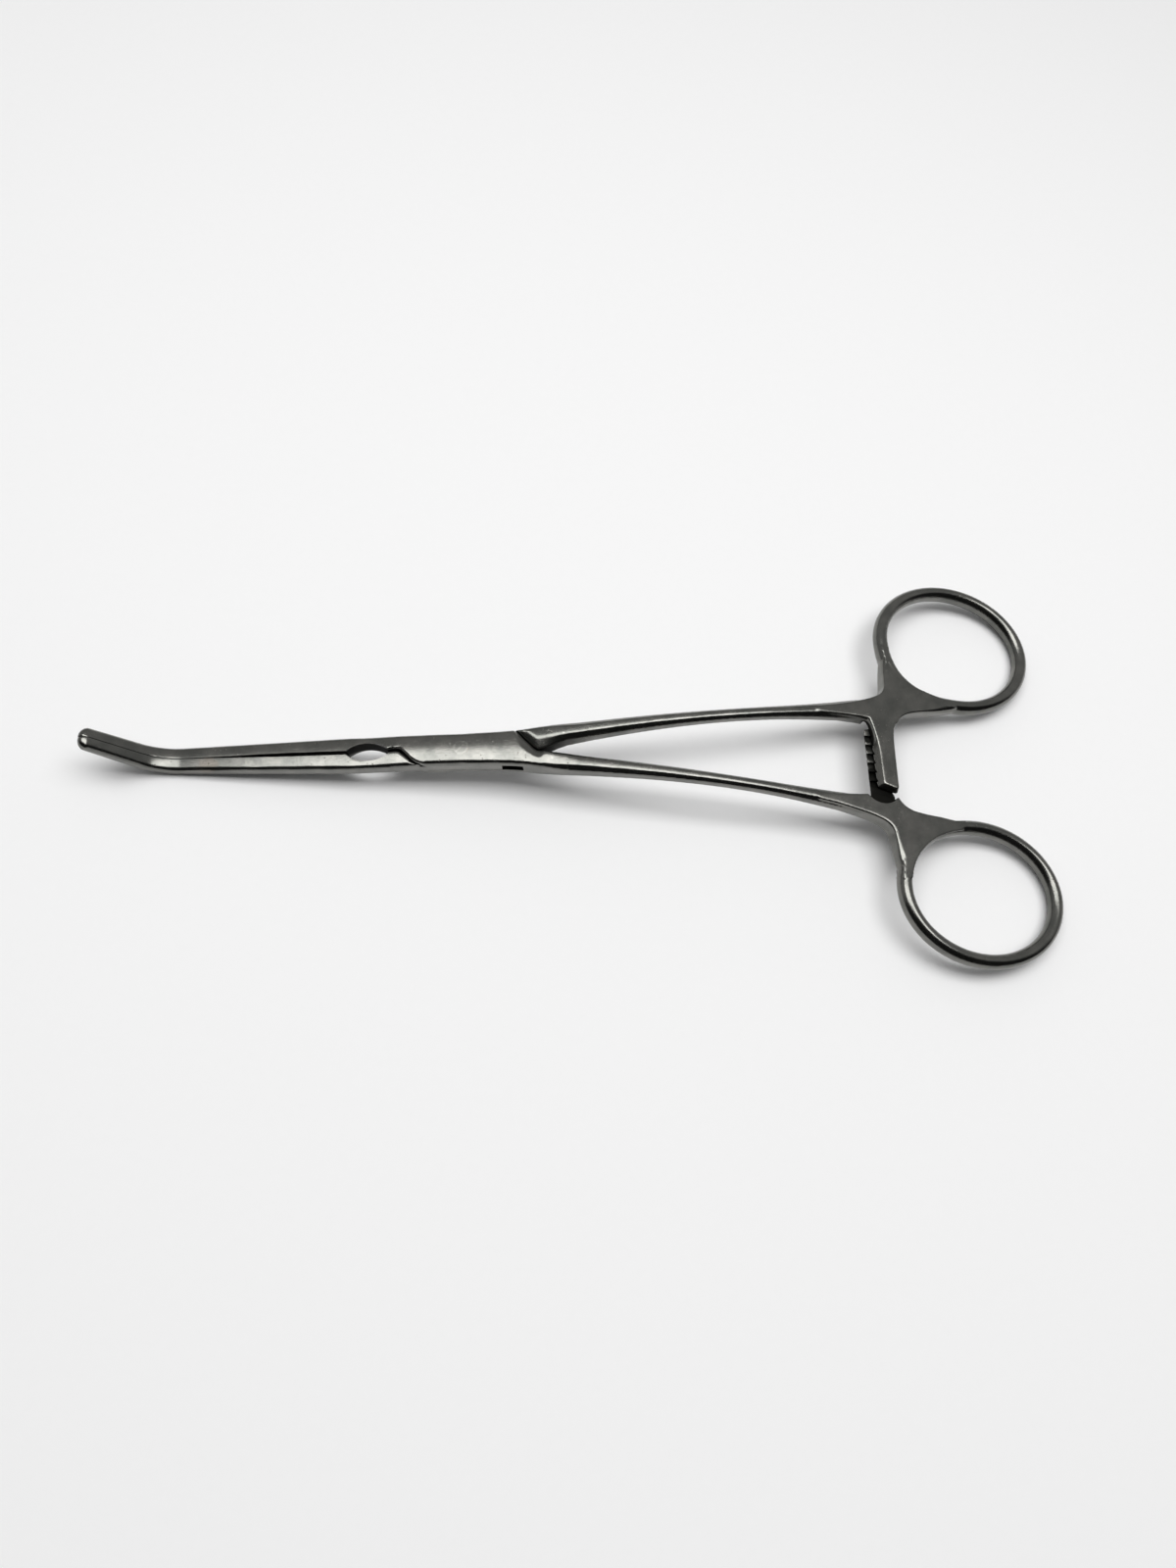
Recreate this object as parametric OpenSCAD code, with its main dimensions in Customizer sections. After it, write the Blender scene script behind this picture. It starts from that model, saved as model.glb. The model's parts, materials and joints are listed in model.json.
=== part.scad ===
// Curved-shank vascular clamp with a box lock, angled jaws and a toothed ratchet.
// Built about the lock pin, then laid down the way it rests on a table.

/* [Lock] */
// Width of the box at the pin
lock_w = 5.6; // [5.2:0.1:6.4]
// Thickness of the box, face to face
lock_t = 4.7; // [4.4:0.1:5.4]
// Half length of the box along the axis
lock_half = 12.6; // [12:0.1:14]
// How far the box widens on each side towards the shanks
lock_flare = 0.4; // [0:0.05:0.6]
// Bevel along the long edges of the box
lock_bevel = 0.35; // [0.2:0.05:0.5]
// Where the box's slanted end towards the jaws crosses the axis
end_left = 10.1; // [9.8:0.1:10.4]
// Where the box's slanted end towards the shanks crosses the axis
end_right = 12.2; // [11.8:0.1:12.4]
// Length of the long bevel on the end towards the shanks
end_bevel = 1.2; // [0.6:0.1:1.3]
// Height of that bevel
end_bevel_h = 0.9; // [0.7:0.05:1.1]
// Thickness of the tongue that passes through the box
tongue_t = 1.6; // [1.4:0.1:2]
// Radius of the tongue's round middle
tongue_r = 7.5; // [6.5:0.1:8]
// Radius of the slot's round end walls
slot_r = 11; // [10:0.1:11.5]
// Diameter of the riveted pin
pin_d = 2.4; // [2:0.1:3]
// Running clearance round the pin
pin_gap = 0.04; // [0.02:0.01:0.08]
// Clearance between the tongue and each plate of the box
plate_gap = 0.05; // [0.03:0.01:0.1]
// Clearance between a shoulder and the box's slanted end
shoulder_gap = 0.15; // [0.1:0.01:0.3]

/* [Jaws] */
// Where the jaws start to bend, from the pin
jaw_straight = 48; // [44:0.5:52]
// Angle that the tips rise above the lock's plane
tip_angle = 50; // [40:1:60]
// Radius of the bend
bend_r = 9; // [8:0.5:12]
// Straight length of the tip beyond the bend
tip_len = 10.4; // [8:0.1:13]
// Half width of the pair at its widest, beside the relief
jaw_hw = 2.95; // [2.7:0.05:3.2]
// Half width of the pair at the bend
bend_hw = 2.15; // [2:0.05:2.4]
// Half width of the pair at the tip
tip_hw = 1.85; // [1.7:0.05:2.1]
// Thickness of the jaws beside the relief
jaw_t = 3.2; // [3:0.1:3.6]
// Thickness of the jaws at the tip
tip_t = 2.2; // [2:0.1:2.6]
// Gap left between the closed jaws along the tips
tip_gap = 0.12; // [0.1:0.01:0.16]
// Gap between the closed jaws near the relief
heel_gap = 0.7; // [0.5:0.05:0.8]
// Half height of the lens-shaped relief
relief_rise = 1.55; // [1.3:0.05:1.7]
// Half length of the relief
relief_half = 4; // [3.5:0.1:4.4]
// Middle of the relief, from the pin
relief_at = 16.2; // [16:0.1:17]
// Length of one serration
tooth_pitch = 1.2; // [1:0.1:1.5]
// Depth of the serrations
tooth_deep = 0.16; // [0.1:0.02:0.2]
// Depth of the groove in one jaw that takes the other jaw's rib
groove_deep = 0.34; // [0.3:0.02:0.4]
// Height of the rib above the serrations
rib_h = 0.18; // [0.14:0.01:0.2]

/* [Shanks] */
// Angle of each shank to the axis
splay = 7; // [6.5:0.1:7.5]
// Where each shank's middle line would meet the pin's cross line
shank_y0 = 0.6; // [0.5:0.05:0.8]
// Start of the downward curve, from the pin
bow_from = 26; // [20:0.5:30]
// Length of the downward curve
bow_len = 32; // [28:0.5:34]
// Angle that the handles drop below the lock's plane
bow_angle = 15.5; // [10:0.5:18]
// Width of a shank where it leaves the lock
root_w = 3.5; // [3.2:0.1:3.8]
// Thickness of a shank where it leaves the lock
root_t = 4.3; // [4:0.1:4.6]
// Width of a shank at its waist
waist_w = 2; // [1.8:0.1:2.6]
// Thickness of a shank at its waist
waist_t = 2.4; // [2.2:0.1:2.8]
// Distance of the waist from the pin
waist_at = 46; // [42:0.5:50]
// Width of a shank where it meets the web
web_w = 3.7; // [3.4:0.1:4.2]

/* [Rings] */
// Distance of the ring's middle from the pin, along the shank
ring_at = 92; // [90:0.5:94]
// How much nearer the pin the box half's ring sits
ring_lag = 1.6; // [0:0.1:2]
// Distance of the ring's middle from the axis
ring_out = 24; // [23:0.5:25]
// Half length of the finger opening
hole_a = 13.2; // [12:0.1:14]
// Half width of the finger opening
hole_b = 10.8; // [10:0.1:11.6]
// Width of the ring's wire
wire_w = 2.6; // [2.2:0.1:3]
// Thickness of the ring's wire and of the web
wire_t = 3; // [2.6:0.1:3.4]
// How much fuller the tongue half's ring runs towards the web, as a share of its size
ring_full = 0.055; // [0:0.005:0.07]
// Radius of the fillets round the web
web_fillet = 3; // [2:0.5:3.5]

/* [Ratchet] */
// Width of a ratchet arm
arm_w = 4; // [3.6:0.1:4.4]
// Distance of the tongue half's arm from the pin
arm_at = 75; // [74.5:0.1:75.5]
// How far each arm reaches past the axis
arm_reach = 6; // [5.5:0.1:6.4]
// Clearance between the crests of the two arms
arm_gap = 0.1; // [0.06:0.02:0.2]
// Spacing of the ratchet teeth
ratchet_pitch = 1.74; // [1.6:0.02:2]
// Depth of the ratchet teeth
ratchet_deep = 0.55; // [0.4:0.05:0.7]
// Number of ratchet teeth on each arm
ratchet_count = 6; // [4:1:6]
// Clearance beyond the end of the other half's arm
arm_end_gap = 3; // [2.4:0.1:3.2]
// Clearance beside the end of the other half's arm
arm_side_gap = 1.6; // [1.2:0.1:2]

/* [Hidden] */
steel = [0.72, 0.71, 0.68];
pin_steel = [0.66, 0.65, 0.62];

// Side view of the middle line: straight at the lock, bent up at the jaws, curved down at the shanks
bow_r = bow_len / (bow_angle * PI / 180);
bend_len = bend_r * tip_angle * PI / 180;
jaw_len = jaw_straight + bend_len + tip_len;
handle_at = bow_from + bow_len;

function clamp01(v) = min(1, max(0, v));
function mix(a, b, t) = a + (b - a) * t;
function ease(v) = clamp01(v) * clamp01(v) * (3 - 2 * clamp01(v));
function lean(s) = s < 0
    ? tip_angle * clamp01((-s - jaw_straight) / bend_len)
    : bow_angle * clamp01((s - bow_from) / bow_len);
function past_bend(s) = max(0, -s - jaw_straight - bend_len);
function past_bow(s) = max(0, s - handle_at);
function line_x(s) = s < 0
    ? -min(-s, jaw_straight) - bend_r * sin(lean(s)) - past_bend(s) * cos(tip_angle)
    : min(s, bow_from) + bow_r * sin(lean(s)) + past_bow(s) * cos(bow_angle);
function line_z(s) = s < 0
    ? bend_r * (1 - cos(lean(s))) + past_bend(s) * sin(tip_angle)
    : -bow_r * (1 - cos(lean(s))) - past_bow(s) * sin(bow_angle);
function at(s, y, h) = [line_x(s) + h * sin(lean(s)), y, line_z(s) + h * cos(lean(s))];

// Rest on the table: heel of the jaw bend and far ends of the rings
bend_t = mix(jaw_t, tip_t, (jaw_straight - relief_at) / (jaw_len - relief_at));
heel_c = [-jaw_straight, bend_r];
heel_rad = bend_r + bend_t / 2;
toe_s = ring_at + hole_a + wire_w / 2;
toe_c = [line_x(toe_s), line_z(toe_s)];
toe_lean = 9;
toe_rad = norm([wire_w / 2 * sin(toe_lean), wire_t / 2 * cos(toe_lean)]);
rest_dx = toe_c[0] - heel_c[0];
rest_dz = heel_c[1] - toe_c[1];
rest_dist = norm([rest_dx, rest_dz]);
rest_tilt = atan2(rest_dz, rest_dx) - asin((heel_rad - toe_rad) / rest_dist);
rest_drop = toe_c[1] * cos(rest_tilt) + toe_c[0] * sin(rest_tilt) - toe_rad;

// Jaw profile along the axis
tip_round = 1.2;
jaw_root = 9;
male_root = end_left - 3.7;
jaw_plain = 22;
gap_from = 28;
tooth_run = jaw_len - 2 - jaw_plain;
tooth_n = floor(tooth_run / tooth_pitch);
relief_r = (relief_half * relief_half + relief_rise * relief_rise) / (2 * relief_rise);
band_in = 0.3;
band_out = 0.82;

function tip_in(d) = d > jaw_len - tip_round ? (d - jaw_len + tip_round) / tip_round : 0;
function tip_fall(d) = sqrt(max(0, 1 - 0.88 * tip_in(d) * tip_in(d)));
function jaw_half(d) = tip_fall(d) * (
    d < relief_at + 3 ? mix(lock_w / 2 - 0.05, jaw_hw, ease((d - jaw_root) / (relief_at + 3 - jaw_root)))
    : d < jaw_straight ? mix(jaw_hw, bend_hw, (d - relief_at - 3) / (jaw_straight - relief_at - 3))
    : mix(bend_hw, tip_hw, (d - jaw_straight) / (jaw_len - jaw_straight)));
function jaw_top(d, shoulder_t) = tip_fall(d) * (
    d < relief_at ? mix(shoulder_t / 2, jaw_t / 2, ease((d - jaw_root) / (relief_at - jaw_root)))
    : mix(jaw_t / 2, tip_t / 2, (d - relief_at) / (jaw_len - relief_at)));
function laid_x(p) = p[0] * cos(rest_tilt) - p[2] * sin(rest_tilt);
function nose_x(d) = min(laid_x(at(-d, 0, -jaw_top(d, 0))), laid_x(at(-d, 0, jaw_top(d, 0))));
function face_gap(d) = d < relief_at ? heel_gap / 2
    : mix(heel_gap, tip_gap, ease((d - gap_from) / (jaw_straight - gap_from))) / 2;
function relief(d) = abs(d - relief_at) > relief_half ? 0
    : sqrt(relief_r * relief_r - pow(d - relief_at, 2)) - relief_r + relief_rise;
function inner(d) = d < jaw_root + 2 ? tip_gap / 2
    : max(mix(tip_gap / 2, face_gap(d), ease((d - jaw_root - 2) / 2)), relief(d));

// One closed section of a jaw: outer bevels, then the lips, toothed bands and groove or rib
function jaw_section(d, shoulder_t, side, cut, mid) = let (
    w = jaw_half(d),
    t = jaw_top(d, shoulder_t),
    g = inner(d),
    c = min(0.55, 0.4 * (w - g)),
    b = g + cut,
    m = g + mid
) [
    at(-d, side * g, t),
    at(-d, side * (w - c), t),
    at(-d, side * w, t - c),
    at(-d, side * w, -t + c),
    at(-d, side * (w - c), -t),
    at(-d, side * g, -t),
    at(-d, side * b, -min(band_out, 0.8 * t)),
    at(-d, side * b, -band_in),
    at(-d, side * m, -band_in + 0.08),
    at(-d, side * m, band_in - 0.08),
    at(-d, side * b, band_in),
    at(-d, side * b, min(band_out, 0.8 * t))
];

// Solid through a list of closed sections. First is the corner that the flat ends start from.
module loft(rings, loop = false, flip = false, first = 0) {
    n = len(rings);
    m = len(rings[0]);
    last = loop ? n - 1 : n - 2;
    skin = [
        for (i = [0 : last])
            for (j = [0 : m - 1])
                let (
                    a = i * m + j,
                    b = i * m + (j + 1) % m,
                    c = ((i + 1) % n) * m + (j + 1) % m,
                    d = ((i + 1) % n) * m + j
                )
                each [[a, b, c], [a, c, d]]
    ];
    ends = loop ? [] : [
        [for (j = [m : -1 : 1]) (j + first) % m],
        [for (j = [0 : m - 1]) (n - 1) * m + (j + first) % m]
    ];
    faces = concat(skin, ends);
    turned = [for (f = faces) [for (k = [len(f) - 1 : -1 : 0]) f[k]]];
    polyhedron(points = [for (r = rings) each r], faces = flip ? turned : faces, convexity = 8);
}

module jaw(side, shoulder_t, mid, start) {
    root = [for (d = [start : 1 : jaw_plain - 0.5]) d];
    teeth = [for (i = [0 : 2 * tooth_n]) jaw_plain + i * tooth_pitch / 2];
    nose = [for (k = [0 : 4]) jaw_len - tip_round + tip_round * sin(22.5 * k)];
    loft(concat(
        [for (d = root) jaw_section(d, shoulder_t, side, 0, 0)],
        [for (i = [0 : len(teeth) - 1]) jaw_section(teeth[i], shoulder_t, side, i % 2 * tooth_deep, mid)],
        [for (d = nose) jaw_section(d, shoulder_t, side, 0, 0)]
    ), flip = side > 0, first = 2);
}

// Shank: a bevelled bar that thins to a waist and swells again towards the web
shank_from = end_right - 2.4;
swell_at = waist_at + 2;
full_w_at = ring_at - 22;
full_t_at = ring_at - 27;
shank_stop = ring_at - 18.7;
function shank_fade(s) = pow(clamp01(1 - (s - lock_half) / (waist_at - lock_half)), 1.6);
function swell_w(s, lag) = pow(clamp01((s - swell_at) / (full_w_at - lag - swell_at)), 2.4);
function swell_t(s, lag) = pow(clamp01((s - swell_at) / (full_t_at - lag - swell_at)), 2);
function shank_w(s, lag) = waist_w + (root_w - waist_w) * shank_fade(s) + (web_w - waist_w) * swell_w(s, lag);
function shank_t(s, lag) = waist_t + (root_t - waist_t) * shank_fade(s) + (wire_t - waist_t) * swell_t(s, lag);
function shank_y(s) = shank_y0 + s * tan(splay);
// The outer side starts flush with the box
function root_pull(s) = 0.45 * clamp01((shank_from + 5.2 - s) / 5);
function shank_section(s, side, lag) = let (
    w = shank_w(s, lag) / 2,
    t = shank_t(s, lag) / 2,
    c = 0.52 * min(w, t),
    y = shank_y(s),
    e = y + w - root_pull(s)
) [
    at(s, side * (y - w + c), t),
    at(s, side * (y - w), t - c),
    at(s, side * (y - w), -t + c),
    at(s, side * (y - w + c), -t),
    at(s, side * (e - c), -t),
    at(s, side * e, -t + c),
    at(s, side * e, t - c),
    at(s, side * (e - c), t)
];

module shank(side, lag) {
    stations = concat([for (s = [shank_from : 3 : 66]) s], [full_w_at - lag, shank_stop - lag]);
    loft([for (s = stations) shank_section(s, side, lag)], flip = side > 0);
}

// Frame of the flat handle end: local x runs along the shank's length, z is square to it
module handle_frame() {
    translate([line_x(handle_at), 0, line_z(handle_at)])
        rotate([0, bow_angle, 0])
            translate([-handle_at, 0, 0])
                children();
}

// Finger ring: an oval wire. One quarter may run fuller, towards the web.
function fuller(u, full) = u > 180 && u < 270 ? 1 + full * pow(sin(2 * u), 2) : 1;
module ring_wire(full) {
    steps = 48;
    around = 12;
    a = hole_a + wire_w / 2;
    b = hole_b + wire_w / 2;
    loft([
        for (i = [0 : steps - 1])
            let (
                u = i * 360 / steps,
                n = [b * cos(u), a * sin(u)] / norm([b * cos(u), a * sin(u)]),
                f = fuller(u, full)
            )
            [
                for (j = [0 : around - 1])
                    let (
                        v = j * 360 / around,
                        r = wire_w / 2 * cos(v)
                    )
                    [f * a * cos(u) + r * n[0], f * b * sin(u) + r * n[1], wire_t / 2 * sin(v)]
            ]
    ], loop = true);
}

module oval(a, b, full) {
    polygon([for (i = [0 : 47]) fuller(i * 7.5, full) * [a * cos(i * 7.5), b * sin(i * 7.5)]]);
}

// Middle band of the ring, kept inside the wire's round section
module ring_band(full) {
    translate([ring_at, ring_out])
        difference() {
            oval(hole_a + wire_w * 0.8, hole_b + wire_w * 0.8, full);
            oval(hole_a + wire_w * 0.2, hole_b + wire_w * 0.2, full);
        }
}

// Web between the shank and the ring, with a corner on each side of the ring
module shank_end() {
    from = ring_at - 30;
    to = ring_at - 19;
    half = web_w / 2 + 0.1;
    polygon([
        [from, shank_y(from) - 0.7],
        [to, shank_y(to) - half],
        [ring_at - 14.6, ring_out - 16.1],
        [ring_at - 12.5, ring_out - 14.8],
        [ring_at - 10, ring_out - 14.2],
        [ring_at - 5.5, ring_out - 13.7],
        [ring_at - 2, ring_out - hole_b - wire_w * 0.7],
        [ring_at - hole_a + 3.2, ring_out - hole_b + 3.2],
        [ring_at - hole_a - wire_w * 0.7, ring_out - 4],
        [ring_at - 15.6, ring_out - 8],
        [ring_at - 15.7, ring_out - 10.6],
        [to, shank_y(to) + half],
        [from, shank_y(from) + 0.7]
    ]);
}

module arm_plan() {
    x0 = arm_at - arm_w / 2;
    x1 = arm_at + arm_w / 2;
    polygon([
        [x0, shank_y(x0)],
        [x0, -arm_reach + 1.2],
        [x0 + 0.6, -arm_reach + 0.6],
        [x1 - 0.5, -arm_reach - 0.6],
        [x1, -arm_reach - 0.2],
        [x1 + 0.3, 3],
        [x1 + 0.3, shank_y(x1)]
    ]);
}

module web_plan(with_arm, full) {
    intersection() {
        offset(r = -web_fillet, $fn = 48)
            offset(r = web_fillet, $fn = 48)
                union() {
                    ring_band(full);
                    shank_end();
                    if (with_arm) {
                        arm_plan();
                    }
                }
        difference() {
            translate([ring_at - 26, -arm_reach - 3])
                square([24.4, ring_out + arm_reach + 3]);
            translate([ring_at, ring_out])
                oval(hole_a + wire_w * 0.2, hole_b + wire_w * 0.2, full);
        }
    }
}

// Web with the ratchet arm on its upper half, for the tongue half. The box half turns it over.
module web_and_arm(full) {
    half = wire_t / 2;
    edge = 0.35;
    difference() {
        union() {
            translate([0, 0, -half + edge])
                linear_extrude(wire_t - 2 * edge)
                    web_plan(false, full);
            translate([0, 0, arm_gap / 2])
                linear_extrude(half - edge - arm_gap / 2)
                    web_plan(true, full);
            translate([0, 0, -half])
                linear_extrude(wire_t)
                    offset(delta = -edge)
                        web_plan(false, full);
            translate([0, 0, arm_gap / 2])
                linear_extrude(half - arm_gap / 2)
                    offset(delta = -edge)
                        web_plan(true, full);
        }
        ratchet_grooves();
        arm_recess();
    }
}

// Saw teeth cut across the arm's inner face
module ratchet_grooves() {
    for (i = [0 : ratchet_count - 1])
        translate([arm_at - arm_w, -arm_reach + 0.8 + (i + 0.5) * ratchet_pitch, arm_gap / 2])
            rotate([90, 0, 90])
                linear_extrude(2 * arm_w)
                    polygon([
                        [0, -0.2],
                        [0, ratchet_deep],
                        [ratchet_pitch * 0.82, 0],
                        [ratchet_pitch * 0.82, -0.2]
                    ]);
}

// Room in the lower half of the web for the end of the other arm
module arm_recess() {
    r = arm_w / 2 + arm_side_gap;
    translate([arm_at, arm_reach + arm_end_gap - r, -wire_t])
        cylinder(h = wire_t + arm_gap / 2, r = r, $fn = 72);
}

// Places what is drawn for the tongue half's handle, or turned over for the box half's
module on_side(side, lag) {
    handle_frame()
        rotate([side > 0 ? 0 : 180, 0, 0])
            translate([-lag, 0, 0])
                children();
}

module handle(side, lag, full) {
    on_side(side, lag) {
        web_and_arm(full);
        translate([ring_at, ring_out, 0])
            ring_wire(full);
    }
}

// Outline of the box's two plates. Grow moves every edge outwards, bevel draws one end in.
function lock_side(x) = lock_w / 2 + lock_flare * max(0, x) / lock_half;
tail_y = 1.5;
function plate_line(grow, bevel) = let (
    left = end_left + grow * sqrt(2),
    right = end_right + grow * sqrt(2) - bevel,
    w = lock_w / 2 + grow
) [
    [-lock_half - grow, w],
    [right - w - 0.4, lock_side(right - w) + grow],
    [right + tail_y, -tail_y],
    [right + tail_y, -lock_side(right + tail_y) - grow],
    [0, -w],
    [-left + w + 0.7, -w],
    [-left + 2.1, -2.1],
    [-left - 0.3, 0.3],
    [-lock_half - grow, 0.3]
];

// Each level of the box: height, growth and bevel
function plate_level(z, grow, bevel) = [for (p = plate_line(grow, bevel)) [p[0], p[1], z]];

// Box body with bevelled long edges and one long bevel across its end
module box_plates() {
    top = lock_t / 2;
    low = top - end_bevel_h;
    mid = end_bevel * (1 - lock_bevel / end_bevel_h);
    rim = end_bevel - lock_bevel * sqrt(2);
    loft([
        plate_level(-top, -lock_bevel, rim),
        plate_level(-top + lock_bevel, 0, mid),
        plate_level(-low, 0, 0),
        plate_level(low, 0, 0),
        plate_level(top - lock_bevel, 0, mid),
        plate_level(top, -lock_bevel, rim)
    ], first = 7);
}

// Plan of the tongue: a round middle and two opposite quarters
module quarters(gap, reach) {
    translate([-reach, -reach])
        square([reach, reach - gap]);
    translate([0, gap])
        square([reach, reach]);
}

module tongue() {
    linear_extrude(tongue_t, center = true)
        intersection() {
            polygon([
                [-lock_half, lock_w / 2],
                [0, lock_w / 2],
                [lock_half, lock_side(lock_half)],
                [lock_half, -lock_side(lock_half)],
                [0, -lock_w / 2],
                [-lock_half, -lock_w / 2]
            ]);
            union() {
                circle(r = tongue_r, $fn = 96);
                quarters(tip_gap / 2, lock_half);
            }
        }
}

module slot() {
    linear_extrude(tongue_t + 2 * plate_gap, center = true)
        union() {
            circle(r = slot_r, $fn = 96);
            quarters(-tip_gap / 2 + 0.02, lock_half + 6);
        }
}

// Middle of the resting part between the tip of the jaws and the far end of the ring
nose_end = min([for (k = [0 : 4]) nose_x(jaw_len - tip_round + tip_round * sin(22.5 * k))]);
ring_lean = bow_angle - rest_tilt;
ring_reach = norm([wire_w / 2 * cos(ring_lean), wire_t / 2 * sin(ring_lean)]);
ring_end = laid_x([toe_c[0], 0, toe_c[1]]) + ring_reach;
rest_mid = (nose_end + ring_end) / 2;

// Turns the finished solid from the lock's own frame to the table
module lay_down() {
    translate([-rest_mid, 0, -rest_drop])
        rotate([0, -rest_tilt, 0])
            children();
}

module box_half() {
    color(steel)
        lay_down() {
            difference() {
                union() {
                    box_plates();
                    jaw(1, lock_t - 0.3, groove_deep, jaw_root);
                    shank(-1, ring_lag);
                }
                slot();
                cylinder(h = lock_t + 2, d = pin_d, center = true, $fn = 64);
                on_side(-1, ring_lag)
                    arm_recess();
            }
            handle(-1, ring_lag, 0);
        }
}

module tongue_half() {
    color(steel)
        lay_down() {
            difference() {
                union() {
                    tongue();
                    difference() {
                        union() {
                            jaw(-1, lock_t - 1.25, -rib_h, male_root);
                            shank(1, 0);
                        }
                        linear_extrude(lock_t + 2, center = true)
                            polygon(plate_line(shoulder_gap, 0));
                    }
                }
                cylinder(h = lock_t + 2, d = pin_d + 2 * pin_gap, center = true, $fn = 64);
                on_side(1, 0)
                    arm_recess();
            }
            handle(1, 0, ring_full);
        }
}

module lock_pin() {
    color(pin_steel)
        lay_down()
            cylinder(h = lock_t, d = pin_d, center = true, $fn = 64);
}

box_half();
tongue_half();
lock_pin();
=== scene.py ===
import json
import math

import bpy
import numpy as np
from mathutils import Matrix, Vector


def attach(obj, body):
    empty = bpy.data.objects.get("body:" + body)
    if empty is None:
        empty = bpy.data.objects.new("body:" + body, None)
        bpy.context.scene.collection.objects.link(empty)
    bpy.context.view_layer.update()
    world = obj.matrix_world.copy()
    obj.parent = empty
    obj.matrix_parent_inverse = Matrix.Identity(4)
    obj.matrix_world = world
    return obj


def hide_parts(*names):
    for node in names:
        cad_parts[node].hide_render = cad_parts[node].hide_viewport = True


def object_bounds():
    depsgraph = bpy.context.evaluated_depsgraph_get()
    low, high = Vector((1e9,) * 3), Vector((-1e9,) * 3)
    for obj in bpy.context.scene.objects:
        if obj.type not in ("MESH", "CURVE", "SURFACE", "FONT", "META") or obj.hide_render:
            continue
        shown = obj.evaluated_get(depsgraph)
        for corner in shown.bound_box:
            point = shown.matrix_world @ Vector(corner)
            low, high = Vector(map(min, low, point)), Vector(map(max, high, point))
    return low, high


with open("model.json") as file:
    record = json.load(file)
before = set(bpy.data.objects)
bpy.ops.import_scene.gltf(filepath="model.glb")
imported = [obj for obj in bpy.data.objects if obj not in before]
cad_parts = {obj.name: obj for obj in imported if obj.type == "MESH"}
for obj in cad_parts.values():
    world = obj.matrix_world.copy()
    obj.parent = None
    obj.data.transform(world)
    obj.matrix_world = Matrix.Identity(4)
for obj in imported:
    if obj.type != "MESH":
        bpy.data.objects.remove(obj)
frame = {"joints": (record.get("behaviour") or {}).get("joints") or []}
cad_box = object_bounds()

bl_info = {
    "name": "Vascular clamp",
    "version": (1, 0, 0),
    "blender": (4, 5, 0),
    "location": "View3D > Sidebar > Clamp",
    "description": "Builds the two forged halves of a box-lock clamp and a plain studio round them",
    "category": "Object",
}

# Everything is modelled in millimetres on a straightened tool: s runs along its side-view line
# from the pin to the rings, y across it and h square to it. bend_to_shape() then curves it.
MM = 0.001


# ---------------------------------------------------------------- settings
class ForgingSizes(bpy.types.PropertyGroup):
    """Sizes of the two forgings, in millimetres. They repeat the frame's own measures."""

    lock_half_width: bpy.props.FloatProperty(
        name="Lock half width", description="Half the width of the box lock at the pin, in mm",
        default=2.8, min=2.4, max=3.2)
    lock_half_thick: bpy.props.FloatProperty(
        name="Lock half thickness", description="Half the thickness of the box lock, in mm",
        default=2.35, min=2.1, max=2.6)
    crown: bpy.props.FloatProperty(
        name="Crown", description="How far the top face falls from its middle to its edges, in mm",
        default=0.24, min=0.0, max=0.5)
    tip_angle: bpy.props.FloatProperty(
        name="Tip angle", description="How far the tips rise above the lock's plane",
        default=math.radians(50), subtype="ANGLE")
    bow_angle: bpy.props.FloatProperty(
        name="Shank drop", description="How far the handles drop below the lock's plane",
        default=math.radians(15.5), subtype="ANGLE")
    tooth_pitch: bpy.props.FloatProperty(
        name="Jaw tooth pitch", description="Length of one serration along the jaws, in mm",
        default=1.2, min=0.4, max=2.0)
    tooth_depth: bpy.props.FloatProperty(
        name="Jaw tooth depth", description="Depth of the jaw serrations, in mm",
        default=0.16, min=0.02, max=0.3)
    ratchet_pitch: bpy.props.FloatProperty(
        name="Ratchet pitch", description="Spacing of the ratchet teeth, in mm",
        default=1.74, min=1.0, max=2.5)
    ratchet_depth: bpy.props.FloatProperty(
        name="Ratchet depth", description="Depth of the ratchet teeth, in mm",
        default=0.55, min=0.2, max=0.8)
    cell: bpy.props.FloatProperty(
        name="Surface cell", description="Cell size that fuses each forging into one skin, in mm",
        default=0.176, min=0.1, max=0.5)


class SteelFinish(bpy.types.PropertyGroup):
    """Colours and strengths of the worn satin steel."""

    steel_colour: bpy.props.FloatVectorProperty(
        name="Steel", description="Colour of the clean satin steel", subtype="COLOR",
        size=3, default=(0.195, 0.192, 0.178), min=0.0, max=1.0)
    dull_colour: bpy.props.FloatVectorProperty(
        name="Dull steel", description="Colour of the duller, clouded steel", subtype="COLOR",
        size=3, default=(0.132, 0.134, 0.124), min=0.0, max=1.0)
    stain_colour: bpy.props.FloatVectorProperty(
        name="Stain", description="Colour of the faint brown stains", subtype="COLOR",
        size=3, default=(0.19, 0.105, 0.055), min=0.0, max=1.0)
    roughness: bpy.props.FloatProperty(
        name="Roughness", description="Roughness of the satin finish", subtype="FACTOR",
        default=0.17, min=0.0, max=1.0)


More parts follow.
